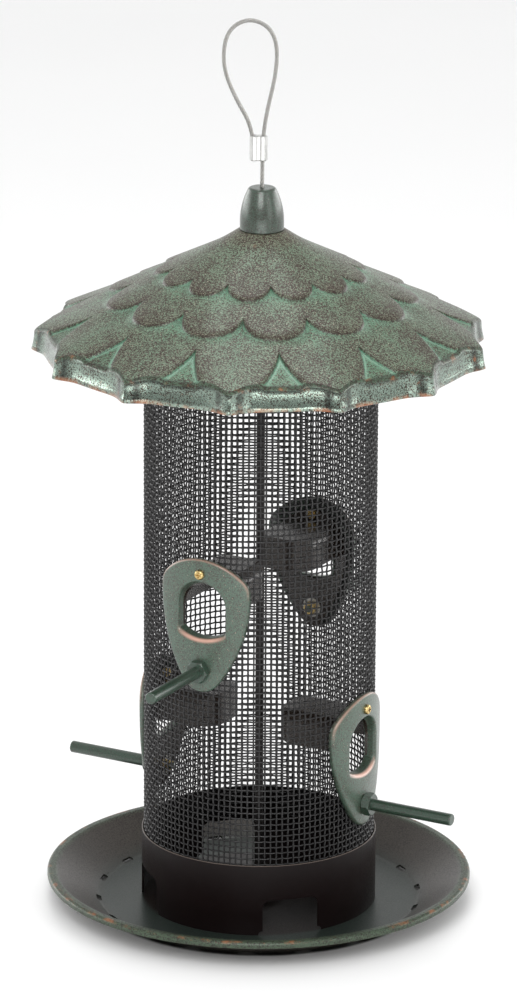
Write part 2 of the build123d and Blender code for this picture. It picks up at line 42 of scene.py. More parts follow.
# Sizes in millimetres and degrees, the same as in the part's source
TUBE_Z0, TUBE_Z1 = 25.5, 371.4
LOBES, ROOF_TURN, ROOF_R = 13, 21.0, 132.0
HALF_LOBE = pi / LOBES
SLOPE, NECK_SLOPE = tan(radians(25.5)), tan(radians(34.2))
CONE_RIM_Z, ROOF_Z0 = 342.265, 331.865
SEAT_R, SEAT_Z = 13.2, 404.321
STEP, SHEET, SHEET_DROP = 1.5, 1.2, 1.33
ROW_1_TIP, ROW_1_ROOT = 61.05, 50.22
ROW_2_TIP, ROW_2_ROOT = 89.71, 73.8
RIM_ROOT = 97.0
ROD_HOLE_R = 2.8
PLATE_BACK_R, PLATE_FRONT_R = 67.55, 70.55

# Each port's name, its turn from -Y towards +X in degrees and its perch's height
PORTS = [
    ("upper_front", 0.0, 160.0),
    ("lower_right", 90.0, 70.0),
    ("upper_back", 180.0, 160.0),
    ("lower_left", 270.0, 70.0),
]

# The wire rope's route in the plane of its loop: distance from the axis, and height. Its three top
# points are a little higher than in the part's source, as in the photograph
HANGER_TURN = 29.0
ROPE_ROUTE = [
    (0.0, 421.421),
    (0.0, 441.121),
    (0.6, 465.121),
    (8.8, 500.121),
    (6.5, 519.921),
    (-7.2, 527.421),
    (-20.5, 519.921),
    (-22.8, 500.121),
    (-16.2, 482.121),
    (-4.7, 462.121),
    (-4.3, 444.521),
]


def smooth(x, low, high):
    """Smooth rise from 0 at low to 1 at high: 3t^2 - 2t^3 of the share t of the way."""
    t = np.clip((x - low) / (high - low), 0, 1)
    return t * t * (3 - 2 * t)


def bell(x, middle, wide):
    """Bell curve: e to the minus square of the distance from its middle, in widths."""
    return np.exp(-(((x - middle) / wide) ** 2))


def pulled_curve(t, start, corner, end):
    """Quadratic curve from start to end, pulled towards a corner, at the shares t of the way."""
    return (1 - t) ** 2 * start + 2 * t * (1 - t) * corner + t**2 * end


def on_circle(radius, azimuth):
    """Point round the Z axis; azimuth runs from -Y towards +X."""
    return radius * np.sin(azimuth), -radius * np.cos(azimuth)


def round_angles(count):
    """Angles that divide a whole turn evenly, from 0."""
    return np.linspace(0, 2 * pi, count, endpoint=False)


def length_along(line):
    """Length of a line up to each of its points: the running sum of the distances between them."""
    return np.concatenate([[0], np.cumsum(np.linalg.norm(np.diff(line, axis=0), axis=1))])


def grid_quads(rows, cols):
    """Quads of a grid numbered row by row, whose last row and column join its first ones."""
    i, j = np.meshgrid(np.arange(rows), np.arange(cols), indexing="ij")
    down, along = (i + 1) % rows, (j + 1) % cols
    quads = [i * cols + j, i * cols + along, down * cols + along, down * cols + j]
    return np.stack(quads, axis=-1).reshape(-1, 4)


def round_tubes(centre, first, second, keep, radius, sides):
    """Round tubes along rows of points: a ring in the plane of two directions at each point.

    Rings are joined where kept, and open ends are capped.
    """
    turn = round_angles(sides)[:, None]
    first = np.broadcast_to(first, centre.shape)[:, :, None]
    second = np.broadcast_to(second, centre.shape)[:, :, None]
    points = centre[:, :, None] + radius * (np.cos(turn) * first + np.sin(turn) * second)
    number = np.arange(points[..., 0].size).reshape(points.shape[:3])
    after = np.roll(number, -1, axis=2)
    quads = np.stack([number[:, :-1], after[:, :-1], after[:, 1:], number[:, 1:]], axis=-1)
    faces = quads[keep].reshape(-1, 4).tolist()
    edge = np.pad(keep, ((0, 0), (1, 1)))
    faces += number[edge[:, 1:] & ~edge[:, :-1]][:, ::-1].tolist()
    faces += number[edge[:, :-1] & ~edge[:, 1:]].tolist()
    return points, faces


def only_used(points, faces):
    """Leave out points that no face uses, and number the rest again in their order."""
    flat = np.unique(np.concatenate([np.ravel(face) for face in faces]))
    index = np.full(len(points), -1)
    index[flat] = np.arange(len(flat))
    return points[flat], [index[face].tolist() for face in faces]


def make_piece(name, points, faces, body, material, stands_for, marks=None):
    """Smooth mesh piece from points in millimetres; marks are named values kept at each point."""
    mesh = bpy.data.meshes.new(name)
    mesh.from_pydata((np.asarray(points).reshape(-1, 3) * MM).tolist(), [], faces)
    mesh.polygons.foreach_set("use_smooth", np.ones(len(mesh.polygons), dtype=bool))
    for label, values in (marks or {}).items():
        mesh.attributes.new(label, "FLOAT", "POINT").data.foreach_set(
            "value", np.asarray(values, dtype=np.float32).ravel()
        )
    mesh.update()
    piece = bpy.data.objects.new(name, mesh)
    bpy.context.scene.collection.objects.link(piece)
    mesh.materials.append(material)
    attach(piece, body)
    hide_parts(stands_for)
    return piece


# Small helpers for shader nodes; a colour mix has numbered sockets, because several share a name
MIX_SHARE, MIX_LOW, MIX_HIGH, MIX_RESULT = 0, 6, 7, 2
NOISE_LOW, NOISE_HIGH = 0.3, 0.7


def feed(tree, socket, value):
    """Link an input to another node's output, or set it to a number or colour."""
    if isinstance(value, bpy.types.NodeSocket):
        tree.links.new(value, socket)
    else:
        socket.default_value = value


def add(tree, kind, inputs=None, **settings):
    """Add a shader node, with its settings, and its inputs linked or set."""
    node = tree.nodes.new("ShaderNode" + kind)
    for key, value in settings.items():
        setattr(node, key, value)
    for key, value in (inputs or {}).items():
        feed(tree, node.inputs[key], value)
    return node


def blend(tree, share, low, high):
    """Colour mixed from low to high by a share."""
    inputs = {MIX_SHARE: share, MIX_LOW: low, MIX_HIGH: high}
    return add(tree, "Mix", inputs, data_type="RGBA").outputs[MIX_RESULT]


def calc(tree, way, first, second=0.0, third=0.0):
    """One step of arithmetic on up to three values."""
    inputs = dict(enumerate((first, second, third)))
    return add(tree, "Math", inputs, operation=way).outputs[0]


def scaled(tree, value, share):
    """A value times a share."""
    return calc(tree, "MULTIPLY", value, share)


def raised(tree, base, value, share):
    """A base plus a share of a value."""
    return calc(tree, "MULTIPLY_ADD", value, share, base)


def larger(tree, first, second):
    """The larger of two values."""
    return calc(tree, "MAXIMUM", first, second)


def stained(tree, tint, mask, share, stain):
    """A colour mixed with a share of a stain where a mask is."""
    return blend(tree, scaled(tree, mask, share), tint, stain)


def rise(tree, value, low, high, start=0.0, end=1.0):
    """Smooth rise of a value from start at low to end at high."""
    limits = {"Value": value, "From Min": low, "From Max": high, "To Min": start, "To Max": end}
    return add(tree, "MapRange", limits, interpolation_type="SMOOTHSTEP").outputs[0]


def over_noise(tree, value, start, end):
    """Smooth rise from start to end over the middle of a noise's range."""
    return rise(tree, value, NOISE_LOW, NOISE_HIGH, start, end)


def noise(tree, place, scale, detail=2.0, rough=0.5):
    """Cloudy noise of about 1/scale metres."""
    inputs = {"Vector": place, "Scale": scale, "Detail": detail, "Roughness": rough}
    return add(tree, "TexNoise", inputs).outputs[0]


def mark(tree, name):
    """A value kept at the mesh's points."""
    return add(tree, "Attribute", attribute_name=name).outputs["Fac"]


def colour(red, green, blue):
    """Screen colour from 0 to 255 as light values for the shader, by the sRGB curve."""
    part = [c / 255 for c in (red, green, blue)]
    return [c / 12.92 if c <= 0.04045 else ((c + 0.055) / 1.055) ** 2.4 for c in part] + [1.0]


def new_group(name, inputs, outputs):
    """Empty shader group with its named sockets; gives the tree, its inputs and its output node."""
    tree = bpy.data.node_groups.new(name, "ShaderNodeTree")
    for way, sockets in (("INPUT", inputs), ("OUTPUT", outputs)):
        for label, kind in sockets.items():
            tree.interface.new_socket(label, in_out=way, socket_type="NodeSocket" + kind)
    start = tree.nodes.new("NodeGroupInput")
    end = tree.nodes.new("NodeGroupOutput")
    return tree, start.outputs, end.inputs


def use_group(tree, group, **inputs):
    """Place a shader group in a material, with its inputs linked or set."""
    node = tree.nodes.new("ShaderNodeGroup")
    node.node_tree = group
    for key, value in inputs.items():
        feed(tree, node.inputs[key], value)
    return node.outputs


def make_speckle_group():
    """Hammered patina: fine noise cut at a height gives speckle over a ground, with sparse flecks.

    More cover lowers the cut, and more flecks lower the level that a fleck's noise has to pass.
    """
    tree, given, end = new_group(
        "speckled_patina",
        {
            "Place": "Vector",
            "Grain": "Float",
            "Cover": "Float",
            "Flecks": "Float",
            "Ground": "Color",
            "Speckle": "Color",
            "Fleck": "Color",
        },
        {"Color": "Color", "Height": "Float"},
    )
    place, grain = given["Place"], given["Grain"]
    fine = noise(tree, place, grain, detail=2.0, rough=0.65)
    finer = noise(tree, place, scaled(tree, grain, 2.4), detail=1.0)
    patches = noise(tree, place, scaled(tree, grain, 0.05), detail=3.0, rough=0.6)
    stray = noise(tree, place, scaled(tree, grain, 1.3), detail=1.0)
    height = raised(tree, scaled(tree, fine, 0.65), finer, 0.35)
    height = raised(tree, height, calc(tree, "SUBTRACT", patches, 0.5), 0.14)
    cut = raised(tree, 0.725, given["Cover"], -0.45)
    speckle = rise(tree, calc(tree, "SUBTRACT", height, cut), -0.05, 0.05)
    level = raised(tree, 0.8, given["Flecks"], -0.3)
    fleck = rise(tree, calc(tree, "SUBTRACT", stray, level), -0.03, 0.05)
    tint = blend(tree, speckle, given["Ground"], given["Speckle"])
    tint = blend(tree, fleck, tint, given["Fleck"])
    feed(tree, end["Color"], tint)
    feed(tree, end["Height"], height)
    return tree


def make_turned_group():
    """Distance from the Z axis and height of a point, both in millimetres."""
    tree, given, end = new_group(
        "turned_place", {"Place": "Vector"}, {"Radius": "Float", "Height": "Float"}
    )
    parts = add(tree, "SeparateXYZ", {"Vector": given["Place"]}).outputs
    square = raised(tree, scaled(tree, parts["Y"], parts["Y"]), parts["X"], parts["X"])
    feed(tree, end["Radius"], scaled(tree, calc(tree, "SQRT", square), 1 / MM))
    feed(tree, end["Height"], scaled(tree, parts["Z"], 1 / MM))
    return tree


SPECKLE = make_speckle_group()
TURNED = make_turned_group()


def new_material(name, metallic, roughness, **constant):
    """Material with one Principled shader; constant numbers go straight onto its sockets."""
    material = bpy.data.materials.new(name)
    material.use_nodes = True
    tree = material.node_tree
    tree.nodes.clear()
    out = tree.nodes.new("ShaderNodeOutputMaterial")
    shader = add(tree, "BsdfPrincipled", {"Metallic": metallic, "Roughness": roughness})
    for key, value in constant.items():
        shader.inputs[key.replace("_", " ")].default_value = value
    tree.links.new(shader.outputs[0], out.inputs[0])
    place = add(tree, "TexCoord").outputs["Object"]
    return material, tree, shader, place


def finish_shader(tree, shader, tint, rough=None, height=None, depth=0.0002, strength=0.3):
    """Feed the shader's colour, roughness and bump; the bump's depth is in metres."""
    feed(tree, shader.inputs["Base Color"], tint)
    if rough is not None:
        feed(tree, shader.inputs["Roughness"], rough)
    if height is not None:
        inputs = {"Height": height, "Distance": depth, "Strength": strength}
        feed(tree, shader.inputs["Normal"], add(tree, "Bump", inputs).outputs[0])


# Colours of the finishes
VERDIGRIS = colour(102, 122, 102)
TEAL = colour(74, 124, 98)
# Painted highlight in the hollows below the petals' edges
HOLLOW_HIGHLIGHT_TEAL = colour(150, 188, 168)
# Painted sheen: the glossy skirt lightened all over
SKIRT_SHEEN = colour(168, 184, 176)
BRONZE = colour(108, 101, 86)
UMBER = colour(52, 38, 32)
# Painted shade on the petals' lips, along the rim's bend and beside its noses
SHADE_UMBER = colour(24, 19, 16)
ROOF_FLECK = colour(160, 152, 134)
COPPER = colour(176, 106, 66)
# Painted highlight on the port plates' sills and upper edges
PINK_HIGHLIGHT = colour(206, 158, 140)
TRAY_FLOOR = colour(34, 43, 39)
TRAY_WALL = colour(52, 47, 41)
# Painted shade on the tray's floor inside the collar
TRAY_COLLAR_SHADE = colour(20, 12, 10)
TRAY_LIP = colour(66, 80, 64)
TRAY_SPECKLE = colour(30, 24, 20)
TRAY_FLECK = colour(82, 78, 68)
COLLAR_DARK, COLLAR_LIGHT = colour(10, 4, 4), colour(17, 8, 8)
# Painted highlight along the collar's top edge
COLLAR_EDGE_HIGHLIGHT = colour(120, 108, 100)
ZINC_DARK, ZINC_LIGHT = colour(84, 84, 82), colour(200, 198, 194)
FLOOR_DARK, FLOOR_LIGHT = colour(248, 248, 248), colour(252, 252, 252)
FLOOR_SHADE = colour(30, 28, 26)

# Radii and heights in millimetres over which one finish passes into the next, or painted shade or a
# painted highlight comes in
TRAY_WALL_R, TRAY_LIP_R, TRAY_COLLAR_SHADE_R = (88.0, 104.0), (116.5, 120.0), (70.0, 66.0)
TRAY_CREST_R, TRAY_CREST_Z = (120.5, 122.2), (16.4, 17.6)
COLLAR_EDGE_R, COLLAR_EDGE_FROM, COLLAR_EDGE_TO = (67.6, 68.2), (43.1, 43.4), (44.4, 44.0)
FLOOR_SHADE_R = (99.0, 95.5)


def roof_patina():
    """Verdigris under umber speckle: bronze tips, teal clefts and copper wear; painted shade on
    petal lips, along the rim's bend and beside its noses, with copper wear on the last two; a
    painted highlight in the hollows; a glossy skirt lightened by a painted sheen.
    """
    material, tree, shader, place = new_material(
        "roof_patina", metallic=0.1, roughness=0.4, Specular_IOR_Level=0.22, Coat_Roughness=0.12
    )
    names = ("tip", "lip", "hollow", "cleft", "shoulder_shade", "hem", "skirt", "nose", "crown")
    marks = (mark(tree, name) for name in names)
    tip, lip, hollow, cleft, shoulder_shade, hem, skirt, nose, crown = marks
    ground = blend(tree, cleft, VERDIGRIS, TEAL)
    ground = stained(tree, ground, larger(tree, tip, crown), 0.5, BRONZE)
    # Painted sheen: the skirt's ground is lightened all over to stand in for its reflections
    ground = stained(tree, ground, skirt, 0.5, SKIRT_SHEEN)
    cover = 0.53
    for mask, share in ((tip, 0.08), (cleft, -0.14), (skirt, -0.06)):
        cover = raised(tree, cover, mask, share)
    patina = use_group(
        tree, SPECKLE, Place=place, Grain=1050.0, Cover=cover, Flecks=0.36,
        Ground=ground, Speckle=UMBER, Fleck=ROOF_FLECK,
    )
    tint, height = patina["Color"], patina["Height"]
    # Painted shade along the petals' lips, the rim's bend and beside its noses, and a painted
    # highlight in the hollows
    shaded_edges = larger(tree, scaled(tree, shoulder_shade, 0.65), nose)
    stains = ((hollow, 0.5, HOLLOW_HIGHLIGHT_TEAL), (lip, 0.4, SHADE_UMBER), (shaded_edges, 0.8, SHADE_UMBER))
    for mask, share, stain in stains:
        tint = stained(tree, tint, mask, share, stain)
    patches = noise(tree, place, 110.0, detail=3.0, rough=0.6)
    worn = scaled(tree, hem, rise(tree, patches, 0.42, 0.62))
    for mask, low, high in ((shaded_edges, 0.56, 0.74), (crown, 0.6, 0.9)):
        worn = larger(tree, worn, scaled(tree, mask, rise(tree, patches, low, high)))
    tint = stained(tree, tint, worn, 0.75, COPPER)
    rough = raised(tree, over_noise(tree, height, 0.34, 0.5), skirt, -0.24)
    feed(tree, shader.inputs["Metallic"], raised(tree, 0.08, skirt, 0.77))
    feed(tree, shader.inputs["Coat Weight"], raised(tree, 0.1, skirt, 0.4))
    finish_shader(tree, shader, tint, rough, height, strength=0.4)
    return material


def tray_patina():
    """Satin grey-green floor with painted shade inside the collar, browner speckled wall, green lip
    worn to copper on its crest.
    """
    material, tree, shader, place = new_material(
        "tray_patina", metallic=0.2, roughness=0.4,
        Specular_IOR_Level=0.3, Coat_Weight=0.15, Coat_Roughness=0.25,
    )
    where = use_group(tree, TURNED, Place=place)
    bands = (TRAY_WALL_R, TRAY_LIP_R, TRAY_COLLAR_SHADE_R, TRAY_CREST_R)
    wall, lip, middle, crest = (rise(tree, where["Radius"], *band) for band in bands)
    crest = scaled(tree, crest, rise(tree, where["Height"], *TRAY_CREST_Z))
    ground = blend(tree, wall, TRAY_FLOOR, TRAY_WALL)
    # Painted shade on the floor inside the collar
    ground = blend(tree, middle, ground, TRAY_COLLAR_SHADE)
    ground = blend(tree, lip, ground, TRAY_LIP)
    patina = use_group(
        tree, SPECKLE, Place=place, Grain=1150.0, Cover=raised(tree, 0.25, wall, 0.2), Flecks=0.25,
        Ground=ground, Speckle=TRAY_SPECKLE, Fleck=TRAY_FLECK,
    )
    patches = noise(tree, place, 90.0, detail=4.0, rough=0.7)
    worn = scaled(tree, crest, rise(tree, patches, 0.5, 0.66))
    tint = stained(tree, patina["Color"], worn, 0.45, COPPER)
    height = patina["Height"]
    finish_shader(tree, shader, tint, over_noise(tree, height, 0.32, 0.46), height)
    return material


def cast_patina(name, ground, speckle, fleck, cover, rough, worn=False):
    """Cast finish under fine speckle; with worn set, a piece shows a painted pink highlight on its
    sill and upper edge.
    """
    material, tree, shader, place = new_material(
        name, metallic=0.1, roughness=0.4, Coat_Weight=0.4, Coat_Roughness=0.2
    )
    patina = use_group(
        tree, SPECKLE, Place=place, Grain=1200.0, Cover=cover, Flecks=0.3,
        Ground=ground, Speckle=speckle, Fleck=fleck,
    )
    tint, height = patina["Color"], patina["Height"]
    if worn:
        # Painted pink highlight on the mouth's sill and the plate's upper edge
        tint = stained(tree, tint, mark(tree, "sill"), 0.85, PINK_HIGHLIGHT)
        tint = stained(tree, tint, mark(tree, "brow_highlight"), 0.6, PINK_HIGHLIGHT)
    finish_shader(tree, shader, tint, over_noise(tree, height, *rough), height)
    return material


def dark_collar():
    """Near-black brown satin enamel with a thin painted highlight line along the collar's top edge.
    """
    material, tree, shader, place = new_material(
        "dark_collar", metallic=0.0, roughness=0.35, Specular_IOR_Level=0.22
    )
    where = use_group(tree, TURNED, Place=place)
    cloud = noise(tree, place, 90.0, detail=3.0, rough=0.6)
    tint = blend(tree, cloud, COLLAR_DARK, COLLAR_LIGHT)
    grit = noise(tree, place, 900.0)
    bands = (COLLAR_EDGE_FROM, COLLAR_EDGE_TO)
    edge = scaled(tree, *(rise(tree, where["Height"], *band) for band in bands))
    edge = scaled(tree, edge, rise(tree, where["Radius"], *COLLAR_EDGE_R))
    # Painted highlight along the top edge
    tint = stained(tree, tint, edge, 0.5, COLLAR_EDGE_HIGHLIGHT)
    rough = over_noise(tree, grit, 0.3, 0.44)
    finish_shader(tree, shader, tint, rough, grit, depth=0.0001, strength=0.2)
    return material


def metal(name, low, high, rough, scale, stretch=(1, 1, 1), metallic=1.0):
    """Bare, plated or painted metal with tumbled marks, or drawn ones stretched along one way."""
    material, tree, shader, place = new_material(name, metallic, rough[0])
    drawn = add(tree, "Mapping", {"Vector": place, "Scale": stretch}).outputs[0]
    marks = noise(tree, drawn, scale, detail=3.0, rough=0.6)
    cloud = noise(tree, place, 120.0)
    tint = blend(tree, raised(tree, scaled(tree, marks, 0.5), cloud, 0.5), low, high)
    finish_shader(tree, shader, tint, over_noise(tree, marks, *rough), marks, depth=0.00005)
    return material


def wire_rope():
    """Bright zinc wire: fine wires wound round each strand, as lines that slant along it."""
    material, tree, shader, _ = new_material("wire_rope", metallic=1.0, roughness=0.3)
    per_length, per_round = 1.1, 6.0
    turns = scaled(tree, mark(tree, "around"), per_round)
    turns = raised(tree, turns, mark(tree, "along"), per_length)
    wires = scaled(tree, calc(tree, "PINGPONG", turns, 0.5), 2.0)
    tint = blend(tree, wires, ZINC_DARK, ZINC_LIGHT)
    rough = rise(tree, wires, 0.0, 1.0, 0.42, 0.26)
    finish_shader(tree, shader, tint, rough, wires, depth=0.00008, strength=0.6)
    return material


ROOF_PATINA = roof_patina()
TRAY_PATINA = tray_patina()
PORT_PATINA = cast_patina(
    "port_patina", colour(66, 86, 73), colour(56, 50, 43), colour(150, 132, 118),
    cover=0.42, rough=(0.3, 0.44), worn=True,
)
PERCH_GREEN = cast_patina(
    "perch_green", colour(46, 66, 54), colour(40, 37, 32), colour(96, 94, 84),
    cover=0.4, rough=(0.26, 0.36),
)
FINIAL_PATINA = cast_patina(
    "finial_patina", colour(56, 72, 61), colour(42, 40, 34), colour(104, 106, 94),
    cover=0.45, rough=(0.26, 0.4),
)
HOOD_PATINA = cast_patina(
    "hood_patina", colour(48, 42, 35), colour(30, 20, 16), colour(90, 74, 62),
    cover=0.55, rough=(0.18, 0.3),
)
DARK_COLLAR = dark_collar()
BLACK_WIRE = metal(
    "black_wire", colour(7, 6, 7), colour(19, 17, 18), rough=(0.32, 0.46), scale=800.0, metallic=0.0
)
DARK_ROD = metal(
    "dark_rod", colour(26, 23, 23), colour(48, 44, 43),
    rough=(0.3, 0.45), scale=500.0, stretch=(1, 1, 0.05), metallic=0.4,
)
PLATED_STEEL = metal(
    "plated_steel", colour(140, 138, 132), colour(196, 194, 188), rough=(0.25, 0.4), scale=700.0
)
ALUMINIUM = metal(
    "ferrule_aluminium", colour(176, 176, 174), colour(226, 226, 224),
    rough=(0.22, 0.36), scale=900.0, stretch=(1, 1, 0.1),
)
BRASS = metal("brass", colour(154, 126, 76), colour(224, 200, 142), rough=(0.22, 0.36), scale=900.0)
WIRE_ROPE = wire_rope()

# Roof: its grid, in columns to half a lobe and rows outwards, and the petals' steps at its neck
HALF_COLUMNS, CROWDING = 24, 0.75
PLAIN_ROWS = (
    ROD_HOLE_R, 8.0, 12.6, SEAT_R, 13.6, 17.0, 20.4, 21.0, 21.6, 25.0, 29.0, 33.0, 37.0, 41.0, 45.5
)
BETWEEN_ROWS, RIM_ROWS, INNER_ROWS, SHORT_ROWS = 6, 5, 3, 3
TOP_LEVEL = 2

# Soft petal edges, the rim's bend, skirt and hem, and shallow waves of the sheet, in millimetres
EDGE_SOFT, NECK_SOFT = 0.8, 0.8
EDGE_STEPS = np.array([-1, -0.5, -0.15, 0.15, 0.5, 1]) * EDGE_SOFT
EDGE_CLEAR, ROW_CLEAR = 1.0, 0.1
CORNER_IN, BEND_IN = 2.0, 1.7
SKIRT_OUT, SKIRT_DOWN, SKIRT_HOLLOW = 0.3, 1.6, 0.35
HEM_R = SHEET / 2
HEM = np.array([[0.3, 0.15], [0.6, 0.0], [0.9, 0.15], [1.2, 0.6]])
RIM_WAVE, RIM_WAVE_R = 0.7, (95.0, 126.0)
PETAL_WAVE, PETAL_WAVE_FROM, PETAL_WAVE_TO = 0.45, (64.0, 84.0), (100.0, 90.0)

# Masks of the finish: how far tips and clefts fade, middle and width of the painted shade on lips
# and beside noses and of the painted highlight in hollows
TIP_FADE, CLEFT_FADE = 8.0, 5.0
LIP_SHADE_BELL, HOLLOW_HIGHLIGHT_BELL, NOSE_SHADE_BELL_DEG = (0.1, 0.55), (-1.0, 0.7), (2.7, 0.9)
UNDER_TIP, UNDER_CLEFT = 0.3, 0.4
HEM_UP, CROWN_R = (1.2, 0.3), (24.0, 19.0)


def petal_edge(local, tip, root):
    """Radius of a petal's round edge: rays from the axis meet the circle through tip and roots."""
    hub = (tip**2 - root**2) / (2 * (tip - root * cos(HALF_LOBE)))
    square = (tip - hub) ** 2 - (hub * np.sin(local)) ** 2
    return hub * np.cos(local) + np.sqrt(np.maximum(square, 0))


def ray_edge(local):
    """Radius of a rim petal's bowed edge, from its blunt end to the root by the share s of the way.

    It stands out from the root by its reach times (1 - s^bow)^(1/bow). The end is beyond the rim.
    """
    far, blunt, bow, beyond = ROOF_R + 6, 0.15, 1.22, 170.0
    share = np.clip((np.abs(local) / HALF_LOBE - blunt) / (1 - blunt), 0, 1)
    return np.where(share > 0, RIM_ROOT + (far - RIM_ROOT) * (1 - share**bow) ** (1 / bow), beyond)


def scallop_edge(local):
    """Radius of the scalloped rim: round noses stand out as bell curves from bowed hollows."""
    nose, reach, bow, wide, power = 131.7, 5.6, 2.4, radians(3.6), 1.8
    away = np.abs(local)
    hollow = bow * (1 - (1 - away / HALF_LOBE) ** 2)
    return nose - (reach * (1 - np.exp(-((away / wide) ** power))) + hollow)


def roof_height(radius, level):
    """Neck and cone joined by a soft maximum of both, with the petals' steps on top."""
    neck = SEAT_Z - NECK_SLOPE * (radius - SEAT_R)
    cone = CONE_RIM_Z + SLOPE * (ROOF_R - radius) + TOP_LEVEL * STEP
    top = (neck + cone + np.sqrt((neck - cone) ** 2 + NECK_SOFT)) / 2
    return np.where(radius < SEAT_R, SEAT_Z, top) + (level - TOP_LEVEL) * STEP


def roof_columns():
    """Angles of the columns from their lobe's nose, from the root beside it and round the axis.

    They crowd at noses and roots: half a lobe times t - crowding * sin(2 pi t) / (2 pi).
    """
    t = np.linspace(0, 1, HALF_COLUMNS + 1)
    half = HALF_LOBE * (t - CROWDING * np.sin(2 * pi * t) / (2 * pi))
    local = np.concatenate([half[:-1], -half[:0:-1]])
    lobe = np.repeat(np.arange(LOBES), len(local))
    local = np.tile(local, LOBES)
    past_nose = np.where(local < 0, local + 2 * HALF_LOBE, local)
    azimuth = radians(ROOF_TURN) + 2 * HALF_LOBE * lobe + past_nose
    return local, np.where(local < 0, local + HALF_LOBE, local - HALF_LOBE), azimuth


def roof_top(local, turn, edges, start):
    """Radius and height of the upper side: rows out to the rim's bend, closest over petals' edges.

    Each petal's edge steps down softly. Cosine waves round the axis swell the rim and second row.
    """
    rows = [np.full_like(local, radius) for radius in PLAIN_ROWS]
    between = np.linspace(0, 1, BETWEEN_ROWS + 1)[1:]
    limits = [start - EDGE_CLEAR + ROW_CLEAR * count for count in range(len(EDGE_STEPS))]
    for edge in edges:
        here = rows[-1]
        over = [np.minimum(edge + step, limit) for step, limit in zip(EDGE_STEPS, limits)]
        rows += [here + (over[0] - here) * share for share in between[:-1]] + over
    here = rows[-1]
    rows += [here + (start - here) * share for share in between]
    radius = np.array(rows)
    level = -1 + sum(smooth(edge - radius, -EDGE_SOFT, EDGE_SOFT) for edge in edges)
    height = roof_height(radius, level)
    height += RIM_WAVE * smooth(radius, *RIM_WAVE_R) * np.cos(pi * local / HALF_LOBE)
    second_row = smooth(radius, *PETAL_WAVE_FROM) * smooth(radius, *PETAL_WAVE_TO)
    height += PETAL_WAVE * second_row * np.cos(pi * turn / HALF_LOBE)
    return radius, height


def roof_rim(start_r, start_z, outline, corner):
    """Radius and height of the rim: a bend pulled to the corner, skirt, round hem and inner wall.

    The skirt is a line hollowed by half a sine wave, and the wall goes in by its rise squared.
    """
    share = np.linspace(0, 1, RIM_ROWS + 1)[1:, None]
    corner_z = start_z - SLOPE * (corner - start_r)
    skirt_r, skirt_z = corner + SKIRT_OUT, corner_z - SKIRT_DOWN
    bend_r = pulled_curve(share, start_r, corner, skirt_r)
    bend_z = pulled_curve(share, start_z, corner_z, skirt_z)
    down_r = skirt_r + (outline - skirt_r) * share - SKIRT_HOLLOW * np.sin(pi * share)
    down_z = skirt_z + (ROOF_Z0 + HEM_R - skirt_z) * share
    hem_r = outline - HEM[:, :1]
    hem_z = ROOF_Z0 + HEM[:, 1:] + 0 * outline
    up = np.linspace(0, 1, INNER_ROWS + 1)[1:, None]
    inner_r = outline - SHEET + (start_r - HEM_R - outline + SHEET) * up**2
    inner_z = ROOF_Z0 + HEM_R + (start_z - SHEET_DROP - ROOF_Z0 - HEM_R) * up
    radius = np.concatenate([bend_r, down_r, hem_r, inner_r])
    return radius, np.concatenate([bend_z, down_z, hem_z, inner_z])


def roof_marks(radius, height, top_rows, local, azimuth, edges):
    """Masks for the finish and its painted shade and highlight, by the distance d inside each
    petal's edge, square to it, and the row.

    Tips fade by e^(-d/fade) inside an edge and clefts by e^(d/fade) outside it, and lips and
    hollows are bell curves along it. Tips and lips are strongest where an edge runs round the axis,
    with c near 1, and clefts and hollows where it runs outwards.
    """
    near = []
    for edge in edges:
        spread = np.gradient(np.tile(edge, 3))[len(edge):-len(edge)]
        lean = 1 / np.sqrt(1 + (spread / np.gradient(azimuth) / edge) ** 2)
        near.append(((edge - radius) * lean, lean))
    tip = sum(np.where(d > 0, np.exp(-d / TIP_FADE) * (0.2 + 0.8 * c), 0) for d, c in near)
    # Painted shade line just inside each petal's edge
    lip = np.max([bell(d, *LIP_SHADE_BELL) * (0.25 + 0.75 * c) for d, c in near], axis=0)
    # Painted highlight line in the hollow just outside each petal's edge
    hollow = np.max([bell(d, *HOLLOW_HIGHLIGHT_BELL) * (1.15 - c) for d, c in near], axis=0)
    clefts = [np.where(d < 0, np.exp(d / CLEFT_FADE) * (1.2 - c), 0) for d, c in near]
    cleft = np.max(clefts, axis=0)
    row = np.arange(len(radius))[:, None] + 0 * radius
    on_top = row < top_rows
    bent = (row >= top_rows - 1) & (row < top_rows + RIM_ROWS)
    return {
        "tip": np.where(on_top, np.clip(tip, 0, 1), UNDER_TIP),
        # Painted shade line just inside the petals' edges
        "lip": np.where(on_top, lip, 0.0),
        # Painted highlight line in the hollows outside the petals' edges
        "hollow": np.where(on_top, hollow, 0.0),
        "cleft": np.where(on_top, np.clip(cleft, 0, 1), UNDER_CLEFT),
        # Painted shade along the rim's bend, where it rounds over
        "shoulder_shade": np.where(bent, 1.0, 0.0),
        "hem": smooth(height, *(ROOF_Z0 + up for up in HEM_UP)),
        "skirt": np.where(row >= top_rows + RIM_ROWS - 1, 1.0, 0.0),
        # Painted shade lines beside the rim's noses
        "nose": np.where(row >= top_rows, bell(np.abs(np.degrees(local)), *NOSE_SHADE_BELL_DEG), 0.0),
        "crown": np.where(on_top, smooth(radius, *CROWN_R), 0.0),
    }


